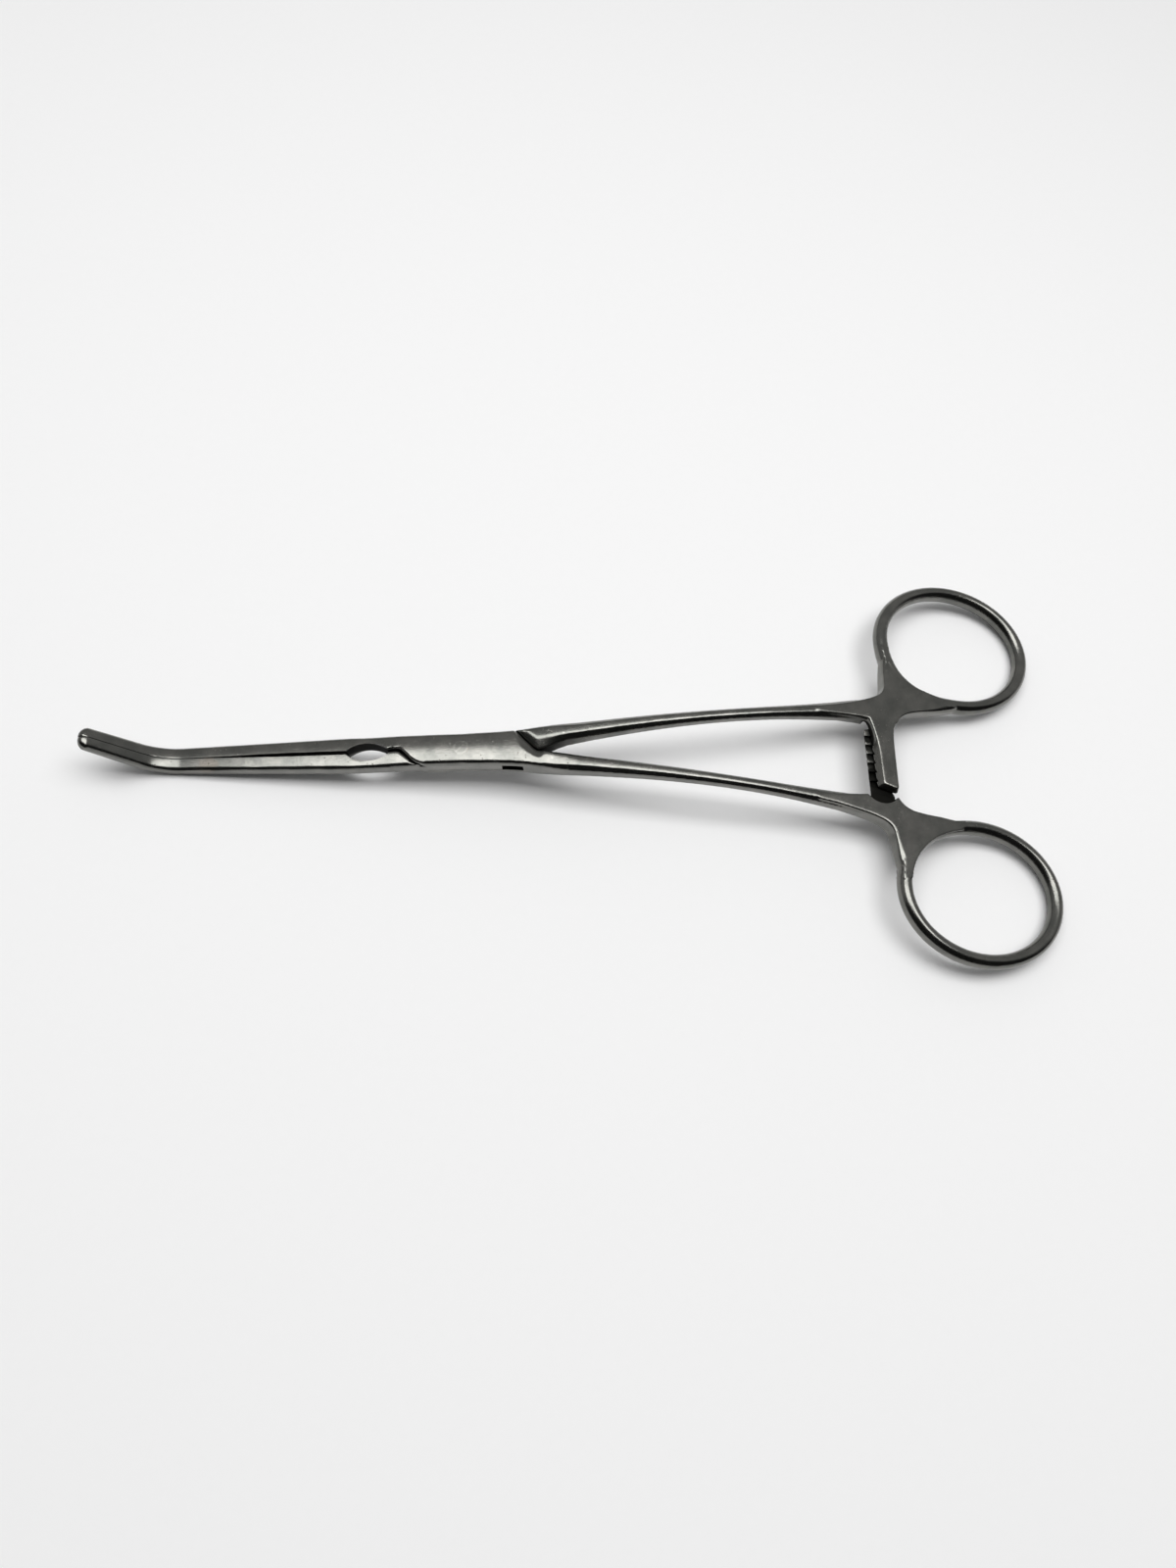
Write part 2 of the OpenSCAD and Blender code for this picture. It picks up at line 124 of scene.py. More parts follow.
class StudioLight(bpy.types.PropertyGroup):
    """Strengths of the studio's lamps and the colour of its floor."""

    softbox_power: bpy.props.FloatProperty(
        name="Softbox", description="Power of the overhead softbox", unit="POWER", default=2.9)
    fill_power: bpy.props.FloatProperty(
        name="Fill", description="Power of the large fill, which lights the floor and isn't mirrored", unit="POWER",
        default=3.0)
    back_room: bpy.props.FloatProperty(
        name="Room behind", description="Brightness of the room behind the object", default=0.42, min=0.0, max=1.0)
    front_room: bpy.props.FloatProperty(
        name="Room in front", description="Brightness of the room on the camera's side", default=0.03, min=0.0, max=1.0)
    floor_colour: bpy.props.FloatVectorProperty(
        name="Floor", description="Colour of the plain pale floor", subtype="COLOR",
        size=3, default=(0.95, 0.95, 0.95), min=0.0, max=1.0)


# ---------------------------------------------------------------- measures
JAW_STRAIGHT, BEND_R, TIP_LEN = 48.0, 9.0, 10.4
BOW_FROM, BOW_LEN = 26.0, 32.0
RING_AT, RING_OUT, RING_LAG = 92.0, 24.0, 1.6
HOLE_A, HOLE_B, WIRE_W, WIRE_T = 13.2, 10.8, 2.6, 3.0
RELIEF_AT, RELIEF_HALF, RELIEF_RISE = 16.05, 4.15, 1.65
HEEL_GAP, TIP_GAP = 0.7, 0.12
TONGUE_T, PLATE_GAP, PIN_D = 1.6, 0.05, 2.4
ARM_GAP, RATCHET_COUNT = 0.1, 6


def clamp01(v):
    return min(1.0, max(0.0, v))


def ease(v):
    v = clamp01(v)
    return v * v * (3 - 2 * v)


def mix(a, b, t):
    return a + (b - a) * t


def through(knots, v):
    """Value at v on the line through (place, value) knots."""
    return float(np.interp(v, [k[0] for k in knots], [k[1] for k in knots]))


def bend_to_shape(points, sizes):
    """Curves straightened points (s, y, h) to the tool's own side-view line, in the lock's frame."""
    s, y, h = points[:, 0], points[:, 1], points[:, 2]
    bend_len = BEND_R * sizes.tip_angle
    bow_r = BOW_LEN / sizes.bow_angle
    jaw = np.clip((-s - JAW_STRAIGHT) / bend_len, 0, 1) * sizes.tip_angle
    bow = np.clip((s - BOW_FROM) / BOW_LEN, 0, 1) * sizes.bow_angle
    past_bend = np.maximum(0, -s - JAW_STRAIGHT - bend_len)
    past_bow = np.maximum(0, s - BOW_FROM - BOW_LEN)
    lean = np.where(s < 0, jaw, bow)
    x = np.where(
        s < 0,
        -np.minimum(-s, JAW_STRAIGHT) - BEND_R * np.sin(jaw) - past_bend * math.cos(sizes.tip_angle),
        np.minimum(s, BOW_FROM) + bow_r * np.sin(bow) + past_bow * math.cos(sizes.bow_angle))
    z = np.where(
        s < 0,
        BEND_R * (1 - np.cos(jaw)) + past_bend * math.sin(sizes.tip_angle),
        -bow_r * (1 - np.cos(bow)) - past_bow * math.sin(sizes.bow_angle))
    return np.stack([x + h * np.sin(lean), y, z + h * np.cos(lean)], axis=1)


def lock_matrix():
    """From the lock's frame in millimetres to the frame in metres: the hinge gives both."""
    hinge = frame["joints"][0]
    up = Vector(hinge["axis"]).normalized()
    across = Vector((0, 1, 0))
    along = across.cross(up)
    turn = Matrix((along, across, up)).transposed().to_4x4()
    return Matrix.Translation(Vector(hinge["pos_m"])) @ turn @ Matrix.Scale(MM, 4)


# ---------------------------------------------------------------- mesh tools
class Shell:
    """Closed surfaces gathered as one list of points and faces."""

    def __init__(self):
        self.points, self.faces = [], []

    def add(self, points, faces):
        base = len(self.points)
        self.points += [tuple(p) for p in points]
        self.faces += [tuple(base + i for i in f) for f in faces]

    def loft(self, rings, loop=False):
        n, m = len(rings), len(rings[0])
        faces = []
        for i in range(n if loop else n - 1):
            k = (i + 1) % n
            for j in range(m):
                q = (j + 1) % m
                faces.append((i * m + j, i * m + q, k * m + q, k * m + j))
        if not loop:
            faces.append(tuple(range(m - 1, -1, -1)))
            faces.append(tuple((n - 1) * m + j for j in range(m)))
        self.add([p for r in rings for p in r], faces)

    def plate(self, outline, low, high, inset):
        """A plate whose edges are bevelled by inset (one value for each point): the outline, lofted."""
        flat = np.array(outline, float)
        ahead = np.roll(flat, -1, axis=0) - np.roll(flat, 1, axis=0)
        ahead /= np.linalg.norm(ahead, axis=1)[:, None]
        inward = np.stack([-ahead[:, 1], ahead[:, 0]], axis=1)
        area = np.sum(flat[:, 0] * np.roll(flat[:, 1], -1) - np.roll(flat[:, 0], -1) * flat[:, 1])
        inset = np.broadcast_to(inset, len(flat))
        side = inward * (inset * (1 if area > 0 else -1))[:, None]
        flat_h = inset * 0
        levels = ((1.0, low + flat_h), (0.3, low + 0.3 * inset), (0.0, low + inset),
                  (0.0, high - inset), (0.3, high - 0.3 * inset), (1.0, high - flat_h))
        self.loft([[(*(p + share * o), h) for p, o, h in zip(flat, side, heights)] for share, heights in levels])

    def mirrored(self, lag):
        """The same handle for the other half: turned over and moved nearer the pin."""
        self.points = [(s - lag, -y, -h) for s, y, h in self.points]
        return self

    def as_object(self, name):
        mesh = bpy.data.meshes.new(name)
        mesh.from_pydata(self.points, [], self.faces)
        mesh.validate()
        piece = bpy.data.objects.new(name, mesh)
        bpy.context.scene.collection.objects.link(piece)
        face_outwards(piece)
        return piece


def face_outwards(piece):
    import bmesh

    bm = bmesh.new()
    bm.from_mesh(piece.data)
    bmesh.ops.triangulate(bm, faces=[f for f in bm.faces if len(f.verts) > 4])
    bmesh.ops.recalc_face_normals(bm, faces=bm.faces)
    bm.to_mesh(piece.data)
    bm.free()


def bake_modifiers(piece):
    bpy.context.view_layer.update()
    graph = bpy.context.evaluated_depsgraph_get()
    done = bpy.data.meshes.new_from_object(piece.evaluated_get(graph))
    old = piece.data
    piece.modifiers.clear()
    piece.data = done
    bpy.data.meshes.remove(old)


def fuse(piece, cell, rounds):
    """Fuses overlapping shells into one skin and softens its edges as polishing does."""
    skin = piece.modifiers.new("skin", "REMESH")
    skin.mode = "VOXEL"
    skin.voxel_size = cell
    soften = piece.modifiers.new("polish", "SMOOTH")
    soften.factor = 0.5
    soften.iterations = rounds
    bake_modifiers(piece)


def combine(piece, other, how):
    cut = piece.modifiers.new(how.lower(), "BOOLEAN")
    cut.operation = how
    cut.solver = "MANIFOLD"
    cut.object = other
    before = len(piece.data.polygons)
    bake_modifiers(piece)
    bpy.data.objects.remove(other)
    if len(piece.data.polygons) < before * 0.2:
        raise RuntimeError(f"{piece.name}: the {how} left too little of the mesh")


def curve_through(points, steps=6, closed=True):
    """Smooth line through given points."""
    p = [np.array(q, float) for q in points]
    n = len(p)
    line = []
    for i in range(n if closed else n - 1):
        a, b = p[(i - 1) % n], p[i]
        c, d = p[(i + 1) % n], p[(i + 2) % n]
        if not closed:
            a, d = p[max(i - 1, 0)], p[min(i + 2, n - 1)]
        for k in range(steps):
            t = k / steps
            line.append(0.5 * (2 * b + (c - a) * t + (2 * a - 5 * b + 4 * c - d) * t * t
                               + (3 * b - a - 3 * c + d) * t ** 3))
    if not closed:
        line.append(p[-1])
    return line


# ---------------------------------------------------------------- profiles
def jaw_length(sizes):
    return JAW_STRAIGHT + BEND_R * sizes.tip_angle + TIP_LEN


def tip_fall(d, sizes):
    reach = clamp01((d - jaw_length(sizes) + 1.3) / 1.3)
    return math.sqrt(max(0.0, 1 - 0.9 * reach * reach))


def jaw_width(d, sizes):
    """Half width of the closed pair of jaws at distance d from the pin."""
    knots = ((0, 2.8), (9, 2.75), (14, 2.86), (19, 2.95), (48, 2.15), (jaw_length(sizes), 1.85))
    return through(knots, d)


def jaw_height(d, sizes):
    return through(((16.2, 1.6), (jaw_length(sizes), 1.1)), d)


def shank_width(s, end_w):
    fade = clamp01(1 - (s - 12.6) / (46 - 12.6)) ** 1.6
    swell = clamp01((s - 48) / (70 - 48)) ** 2.4
    return 2 + 1.5 * fade + (end_w - 2) * swell


def shank_height(s):
    fade = clamp01(1 - (s - 12.6) / (46 - 12.6)) ** 1.6
    swell = clamp01((s - 48) / (65 - 48)) ** 2
    return (2.4 + 1.9 * fade + 0.6 * swell) / 2


def shank_middle(s):
    return 0.6 + s * math.tan(math.radians(7))


def bar_section(s, low, high, t, low_bevel, high_bevel, middle, reach, crown):
    """One closed section of a forged bar: crowned faces, bevelled or rounded edges.
    A bevel is (across, down)."""
    low_in = low + min(low_bevel[0], 0.45 * (high - low))
    high_in = high - min(high_bevel[0], 0.45 * (high - low))

    def face(y):
        return t - crown * clamp01(abs(y - middle) / reach) ** 2

    across = [mix(low_in, high_in, k / 8) for k in range(9)]
    ring = [(s, y, face(y)) for y in across]
    ring.append((s, high, face(high_in) - high_bevel[1]))
    ring.append((s, high, -face(high_in) + high_bevel[1]))
    ring += [(s, y, -face(y)) for y in reversed(across)]
    ring.append((s, low, -face(low_in) + low_bevel[1]))
    ring.append((s, low, face(low_in) - low_bevel[1]))
    return ring


# Edges of the box plates on the straightened tool, jaw side counted as positive
BOX_LEFT = ((-12.9, 0.02), (-12.2, 0.3), (-10.5, 0.25), (-9.9, -0.25), (-8.3, -1.9), (-7.6, -2.35), (-6.9, -2.6), (-6.2, -2.75))
BOX_RIGHT = ((9.2, 3.05), (9.7, 2.75), (10.7, 1.5), (12.4, -0.25), (13.2, -0.75), (14.5, -0.88), (16, -1.02), (18, -1.25))


def stations(start, end, step, extra=()):
    count = int(math.ceil((end - start) / step))
    return sorted(set([round(mix(start, end, i / count), 4) for i in range(count + 1)] + list(extra)))


def outer_edge(s, end_w):
    """Outer edge of the closed tool: the lock's flank, then the shank's."""
    flank = 2.8 + 0.4 * clamp01(s / 12.6)
    shank = shank_middle(s) + shank_width(s, end_w) / 2
    return mix(flank, shank, ease((s - 5) / 13))


def bar_height(s):
    return mix(2.35, shank_height(s), ease((s - 11) / 8))


def box_bar(shell, sizes, end_at, end_w):
    """The box half without its web: jaw, both plates and shank in one sweep. Jaw side positive."""
    length = jaw_length(sizes)
    nose = [-(length - 1.3 + 1.3 * math.sin(math.radians(k * 90 / 9))) for k in range(9, 0, -1)]
    places = nose + stations(-length + 1.3, -14, 0.8) + stations(-13.75, 19, 0.25) + stations(19.5, end_at, 0.75)
    rings = []
    for s in places:
        d = -s
        if s < -6.2:
            high = jaw_width(d, sizes)
            low = -0.2 if s < -12.9 else through(BOX_LEFT, s)
            t = mix(2.35, jaw_height(max(d, 16.2), sizes), ease((d - 8.5) / 8.5))
            fall = tip_fall(d, sizes)
            high *= fall
            t *= fall
            seam = 0.05 + 0.8 * (1 - fall)
            low_bevel = (seam, seam) if s < -12.9 else (0.22, 0.2)
            high_bevel = (0.38 * fall, 0.45 * fall)
            middle, reach, crown = 0.0, high, sizes.crown
        else:
            edge = outer_edge(s, end_w)
            low = -edge
            high = through(BOX_RIGHT, s) if s < 18 else -(shank_middle(s) - shank_width(s, end_w) / 2)
            if s < 9.2:
                high = edge
            t = bar_height(s)
            blend = ease((s - 12) / 9)
            middle = -mix(0, shank_middle(s), blend)
            reach = mix(edge, shank_width(s, end_w) / 2, blend)
            crown = mix(sizes.crown, 0.12, blend)
            round_w = 0.52 * min(shank_width(s, end_w), 2 * shank_height(s)) / 2
            low_bevel = (mix(0.38, round_w, blend), mix(0.45, round_w, blend))
            slant = ease((s - 8.8) / 1.4) * (1 - ease((s - 12.8) / 1.6))
            high_bevel = (mix(0.38, round_w, blend) + 1.5 * slant, mix(0.45, round_w, blend) + 0.3 * slant)
        rings.append(bar_section(s, low, high, t, low_bevel, high_bevel, middle, reach, crown))
    shell.loft(rings)


def tongue_jaw(shell, sizes):
    """The tongue half's jaw with its shoulder, jaw side positive."""
    length = jaw_length(sizes)
    nose = [-(length - 1.3 + 1.3 * math.sin(math.radians(k * 90 / 9))) for k in range(9, 0, -1)]
    places = nose + stations(-length + 1.3, -14, 0.8) + stations(-13.75, -7.0, 0.25)
    shoulder = ((-12.9, 0.1), (-12.0, 0.0), (-11.0, -0.05), (-10.6, 0.1), (-10.2, 0.45), (-8.6, 2.0), (-7.9, 2.4), (-7.0, 2.62))
    rings = []
    for s in places:
        d = -s
        fall = tip_fall(d, sizes)
        high = jaw_width(d, sizes) * fall
        low = -0.2 if s < -12.9 else through(shoulder, s)
        t = mix(1.72, jaw_height(max(d, 16.2), sizes), ease((d - 9) / 8)) * fall
        seam = 0.05 + 0.8 * (1 - fall)
        low_bevel = (seam, seam) if s < -12.9 else (0.16, 0.14)
        rings.append(bar_section(s, low, high, t, low_bevel, (0.38 * fall, 0.45 * fall), 0.0, high, sizes.crown))
    shell.loft(rings)


def tongue_shank(shell, sizes, end_at, end_w):
    """The tongue half's shank from its shoulder to the web, shank side positive."""
    inner = ((9.1, 3.15), (9.5, 3.0), (10.65, 1.8), (12.45, 0.0), (13.1, -0.42), (14.1, -0.25), (15.2, 0.2), (16.4, 0.7), (18, 1.2))
    ridge = ((9.5, 3.3), (10.9, 3.2), (11.9, 2.35), (12.9, 1.5), (15, 1.7), (18, 2.15), (25, 3.1))
    rings = []
    for s in stations(9.2, 19, 0.25) + stations(19.5, end_at, 0.75):
        width = shank_width(s, end_w)
        high = outer_edge(s, end_w)
        low = through(inner, s) if s < 18 else shank_middle(s) - width / 2
        t = mix(2.1, shank_height(s), ease((s - 11) / 8))
        round_w = 0.52 * min(width, 2 * shank_height(s)) / 2
        blend = ease((s - 18) / 6)
        slope = max(0.3, min(through(ridge, s) - low, 0.9 * (high - low)))
        low_bevel = (mix(slope, round_w, blend), mix(0.55, round_w, blend))
        high_bevel = (mix(0.38, round_w, ease((s - 12) / 9)), mix(0.45, round_w, ease((s - 12) / 9)))
        low_in = low + low_bevel[0]
        section = bar_section(s, low, high, t, (0.01, 0.01), high_bevel, (low + high) / 2, (high - low) / 2, 0.1)
        bent = []
        for place, y, h in section:
            if y < low_in:
                drop = low_bevel[1] * ((low_in - y) / max(low_bevel[0], 0.05))
                h = math.copysign(max(abs(h) - drop, 0.2), h)
            bent.append((place, y, h))
        rings.append(bent)
    shell.loft(rings)


def ring_and_web(shell, low_edge, full, narrow):
    """Finger ring, web and ratchet arm as on the tongue half, on the flat handle end."""
    a, b = HOLE_A + WIRE_W / 2, HOLE_B + WIRE_W / 2
    line = []
    for i in range(120):
        u = math.radians(i * 3)
        fuller = 1 + (full * math.sin(2 * u) ** 2 if math.pi < u < 1.5 * math.pi else 0)
        line.append(np.array((a * math.cos(u) * fuller, b * math.sin(u) * fuller)))
    rings = []
    for i in range(120):
        ahead = line[(i + 1) % 120] - line[i - 1]
        out = np.array((ahead[1], -ahead[0])) / np.linalg.norm(ahead)
        ring = []
        for j in range(20):
            v = math.radians(j * 18)
            p = line[i] + out * (WIRE_W / 2 * math.cos(v))
            ring.append((RING_AT + p[0], RING_OUT + p[1], WIRE_T / 2 * math.sin(v)))
        rings.append(ring)
    shell.loft(rings, loop=True)
    web = ((62.5, 8.9), (66, 9.6), (70, 10.6), (73, 11.5), (75.1, 12.5), (76.15, 13.8), (76.4, 15.6), (76.5, 17.4),
           (76.65, 19.2), (77.0, 21.2), (77.6, 23.0), (77.9, 21.4), (78.4, 19.0), (79.6, 16.7), (81.5, 14.9), (84.6, 13.2),
           (88, 12.3), (90.6, 12.0), (91.2, 11.5), *low_edge,
           (76.6, 6.5), (74.2, 6.9), (71.8, 7.3), (69, 7.5), (66, 7.6), (62.5, 7.8))
    web = np.array(curve_through(web))
    towards_ring = np.maximum((web[:, 1] - 14.5) / 6, (web[:, 0] - 83) / 7)
    bevel = [mix(0.32, 1.05, ease(v)) for v in towards_ring]
    shell.plate(web, -WIRE_T / 2, WIRE_T / 2, bevel)
    arm = ((77.9, 7.6), (77.35, 5.4), (77.1, 2.6), (77.0, -1.5), (76.9, -5.2), (76.8, -6.2), (76.3, -6.5),
           (74.6, -6.0), (73.3, -5.6), (73.05, -5.0), (73.0, -1.5), (73.0, 2.6), (72.85, 5.2), (72.2, 7.1), (71, 8.6), (74.5, 9.8))
    arm_top = ((77.6, 7.6), (77.0, 5.4), (76.75, 2.6), (76.65, -1.5), (76.55, -5.1), (76.45, -5.8), (76.1, -6.0),
               (74.9, -5.6), (74.1, -5.3), (73.9, -4.9), (73.85, -1.5), (73.75, 1.6), (73.2, 4.8), (72.5, 7.4), (71.6, 9.0), (74.5, 9.8))
    arm, arm_top = (np.array(curve_through(line, 8)) for line in (arm, arm_top))
    if narrow:
        arm[:, 0] = np.maximum(arm[:, 0], 73.55)
        arm_top[:, 0] = np.maximum(arm_top[:, 0], 74.1)
    levels = ((arm + (arm_top - arm) * share, h) for share, h in ((0.0, ARM_GAP / 2), (0.0, 0.35), (0.75, 1.25), (1.0, 1.5)))
    shell.loft([[(x, y, h) for x, y in line] for line, h in levels])


# Lower edge of each web, from under the ring back to the arm
TONGUE_WEB_EDGE = ((90.8, 10.85), (88.8, 10.35), (86.5, 9.95), (84, 9.65), (81.9, 9.3), (80.2, 8.8), (78.8, 7.9), (78.0, 6.8))
BOX_WEB_EDGE = ((90.8, 11.0), (88.8, 10.9), (86, 10.6), (83.8, 10.45), (81.9, 10.15), (80.2, 9.7), (78.8, 8.8), (77.8, 7.5))


# ---------------------------------------------------------------- cutters
def relief(d):
    if abs(d - RELIEF_AT) > RELIEF_HALF:
        return 0.0
    radius = (RELIEF_HALF ** 2 + RELIEF_RISE ** 2) / (2 * RELIEF_RISE)
    return math.sqrt(radius ** 2 - (d - RELIEF_AT) ** 2) - radius + RELIEF_RISE


def face_gap(d):
    heel = mix(TIP_GAP, HEEL_GAP, ease((d - 11) / 2)) if d < 16 else HEEL_GAP
    gap = mix(heel, TIP_GAP, ease((d - 28) / 20))
    return max(gap / 2, relief(d))


def inner_face_cutter(sizes, groove):
    """Trims a jaw's inner face: relief, serrated bands and the groove or rib between them."""
    first, last = 22.0, jaw_length(sizes) - 1.6
    count = int((last - first) / sizes.tooth_pitch)
    places = [(12.62 + 0.2 * i, 0.0) for i in range(47)]
    for i in range(count):
        start = first + i * sizes.tooth_pitch
        places += [(start, 0.0), (start + 0.75 * sizes.tooth_pitch, sizes.tooth_depth)]
    places += [(first + count * sizes.tooth_pitch, 0.0), (jaw_length(sizes) + 1, 0.0)]
    rings = []
    for d, cut in places:
        g = face_gap(d)
        band = g + cut
        middle = g + (groove if 21 < d < last else 0)
        profile = ((-2, 3), (g, 3), (g, 0.86), (band, 0.78), (band, 0.3), (middle, 0.22),
                   (middle, -0.22), (band, -0.3), (band, -0.78), (g, -0.86), (g, -3), (-2, -3))
        rings.append([(-d, y, h) for y, h in profile])
    shell = Shell()
    shell.loft(rings)
    return shell


def round_plate(shell, radius, low, high, sides=128, centre=(0, 0)):
    circle = [(centre[0] + radius * math.cos(2 * math.pi * i / sides),
               centre[1] + radius * math.sin(2 * math.pi * i / sides)) for i in range(sides)]
    shell.loft([[(x, y, h) for x, y in circle] for h in (low, high)])


def block(shell, low, high):
    (a, b, c), (d, e, f) = low, high
    shell.loft([[(a, b, h), (d, b, h), (d, e, h), (a, e, h)] for h in (c, f)])


def ratchet_cutter(side):
    """Saw grooves for one arm; side is 1 for the tongue half and -1 for the box half."""
    shell = Shell()
    for i in range(RATCHET_COUNT):
        y = -5.4 + (i + 0.5) * 1.74
        rings = []
        for s in (71.0, 79.0):
            rings.append([(s, y, ARM_GAP / 2 - 0.4), (s, y, ARM_GAP / 2 + 0.55),
                          (s, y + 1.43, ARM_GAP / 2), (s, y + 1.43, ARM_GAP / 2 - 0.4)])
        shell.loft(rings)
    return shell if side > 0 else shell.mirrored(RING_LAG)


def arm_end_cutter(side):
    """Half-round room in the web for the end of the other arm."""
    shell = Shell()
    round_plate(shell, 3.6, -WIRE_T, ARM_GAP / 2, centre=(75.0, 5.4))
    return shell if side > 0 else shell.mirrored(RING_LAG)


# ---------------------------------------------------------------- forgings
def finish_forging(piece, sizes, body, node, material):
    """Bends the straight mesh to shape, puts it in the frame and lets it ride."""
    mesh = piece.data
    flat = np.zeros(len(mesh.vertices) * 3)
    mesh.vertices.foreach_get("co", flat)
    shaped = bend_to_shape(flat.reshape(-1, 3), sizes)
    place = np.array(lock_matrix())
    shaped = shaped @ place[:3, :3].T + place[:3, 3]
    mesh.vertices.foreach_set("co", shaped.ravel())
    mesh.update()
    mesh.shade_smooth()
    mesh.set_sharp_from_angle(angle=math.radians(38))
    mesh.materials.clear()
    mesh.materials.append(material)
    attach(piece, body)
    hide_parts(node)


class CLAMP_OT_box_half(bpy.types.Operator):
    """Build the box half: jaw, lock box, shank, ring and lower ratchet arm in one forging"""

    bl_idname = "clamp.box_half"
    bl_label = "Box half"

    def execute(self, context):
        sizes = context.scene.clamp_sizes
        shell = Shell()
        box_bar(shell, sizes, 72.0 - RING_LAG, 3.7)
        handle = Shell()
        ring_and_web(handle, BOX_WEB_EDGE, 0.01, True)
        handle.mirrored(RING_LAG)
        shell.add(handle.points, handle.faces)
        piece = shell.as_object("box_forging")
        fuse(piece, working_cell(sizes), 4)
        combine(piece, inner_face_cutter(sizes, 0.34).as_object("jaw_cut"), "DIFFERENCE")
        slot_room = Shell()
        round_plate(slot_room, 11.0, -TONGUE_T / 2 - PLATE_GAP, TONGUE_T / 2 + PLATE_GAP)
        combine(piece, slot_room.as_object("slot_cut"), "DIFFERENCE")
        ends = Shell()
        half = TONGUE_T / 2 + PLATE_GAP
        block(ends, (-20, -20, -half), (-5, 0.04, half))
        block(ends, (5, -0.04, -half), (18, 20, half))
        combine(piece, ends.as_object("slot_ends_cut"), "DIFFERENCE")
        pin_room = Shell()
        round_plate(pin_room, PIN_D / 2 + 0.012, -4, 4)
        combine(piece, pin_room.as_object("pin_cut"), "DIFFERENCE")
        combine(piece, ratchet_cutter(-1).as_object("ratchet_cut"), "DIFFERENCE")
        combine(piece, arm_end_cutter(-1).as_object("arm_end_cut"), "DIFFERENCE")
        # The last argument places painted shade: near-black patches in the recess for the other arm's end and at the
        # jaws' relief.
        steel = worn_steel(context, "Box steel", 0.0, in_frame(sizes, 0.6, -0.3, 2.3), 1.1,
                           ((in_frame(sizes, 75.0 - RING_LAG, -5.4, 0), (4, 4, 1.1)),
                            (in_frame(sizes, -RELIEF_AT, 0, 0), (4.4, 2.6, 1.8))))
        finish_forging(piece, sizes, "box_body", "box_half", steel)
        return {"FINISHED"}


class CLAMP_OT_tongue_half(bpy.types.Operator):
    """Build the tongue half: jaw, tongue, shank, ring and upper ratchet arm in one forging"""

    bl_idname = "clamp.tongue_half"
    bl_label = "Tongue half"

    def execute(self, context):
        sizes = context.scene.clamp_sizes
        shell = Shell()
        tongue_jaw(shell, sizes)
        shell.points = [(s, -y, h) for s, y, h in shell.points]
        tongue_shank(shell, sizes, 72.0, 3.7)
        ring_and_web(shell, TONGUE_WEB_EDGE, 0.055, False)
        piece = shell.as_object("tongue_forging")
        fuse(piece, working_cell(sizes), 4)
        combine(piece, inner_face_cutter_for_tongue(sizes).as_object("jaw_cut"), "DIFFERENCE")
        tongue = Shell()
        half = TONGUE_T / 2
        outline = [(7.5 * math.cos(math.radians(a)), 7.5 * math.sin(math.radians(a))) for a in range(0, 360, 4)]
        outline = [(x, max(-2.78 - 0.03 * max(x, 0), min(2.78 + 0.03 * max(x, 0), y))) for x, y in outline]
        tongue.loft([[(x, y, h) for x, y in outline] for h in (-half, half)])
        combine(piece, tongue.as_object("tongue_plate"), "UNION")
        ends = Shell()
        block(ends, (-12.5, -2.74, -half), (-4, -0.06, half))
        block(ends, (4, 0.06, -half), (12.5, 3.0, half))
        combine(piece, ends.as_object("tongue_ends"), "UNION")
        pin_room = Shell()
        round_plate(pin_room, PIN_D / 2 + 0.03, -4, 4)
        combine(piece, pin_room.as_object("pin_cut"), "DIFFERENCE")
        combine(piece, ratchet_cutter(1).as_object("ratchet_cut"), "DIFFERENCE")
        combine(piece, arm_end_cutter(1).as_object("arm_end_cut"), "DIFFERENCE")
        # The last argument places painted shade: near-black patches in the recess for the other arm's end and at the
        # jaws' relief.
        steel = worn_steel(context, "Tongue steel", 7.0, in_frame(sizes, -43.5, -1.4, 1.2), 2.2,
                           ((in_frame(sizes, 75.0, 5.4, 0), (4, 4, 1.1)),
                            (in_frame(sizes, -RELIEF_AT, 0, 0), (4.4, 2.6, 1.8))))
        finish_forging(piece, sizes, "tongue_body", "tongue_half", steel)
        return {"FINISHED"}


def inner_face_cutter_for_tongue(sizes):
    shell = inner_face_cutter(sizes, -0.18)
    shell.points = [(s, -y, h) for s, y, h in shell.points]
    return shell


def working_cell(sizes):
    return sizes.cell


class CLAMP_OT_pin(bpy.types.Operator):
    """Build the riveted pin, hammered flush and ground down with the box's crowned faces"""

    bl_idname = "clamp.pin"
    bl_label = "Pin"

    def execute(self, context):
        sizes = context.scene.clamp_sizes
        across = 2.8
        levels = []
        for radius, side in ((0.01, -1), (0.4, -1), (0.8, -1), (1.2, -1), (1.2, 1), (0.8, 1), (0.4, 1), (0.01, 1)):
            ring = []
            for i in range(72):
                x, y = radius * math.cos(math.radians(5 * i)), radius * math.sin(math.radians(5 * i))
                ring.append((x, y, side * (2.343 - sizes.crown * (y / across) ** 2)))
            levels.append(ring)
        shell = Shell()
        shell.loft(levels)
        pin = shell.as_object("pin_head")
        finish_forging(pin, sizes, "box_body", "lock_pin", worn_steel(context, "Pin steel", 3.0))
        return {"FINISHED"}


# ---------------------------------------------------------------- steel
def group(name, inputs, outputs):
    """A shader node group with named sockets, and its two end nodes."""
    tree = bpy.data.node_groups.new(name, "ShaderNodeTree")
    for label, kind, value in inputs:
        socket = tree.interface.new_socket(label, in_out="INPUT", socket_type=kind)
        if value is not None:
            socket.default_value = value
    for label, kind in outputs:
        tree.interface.new_socket(label, in_out="OUTPUT", socket_type=kind)
    return tree, tree.nodes.new("NodeGroupInput"), tree.nodes.new("NodeGroupOutput")


def node(tree, kind, **settings):
    made = tree.nodes.new(kind)
    for key, value in settings.items():
        if key in made.inputs:
            made.inputs[key].default_value = value
        else:
            setattr(made, key, value)
    return made


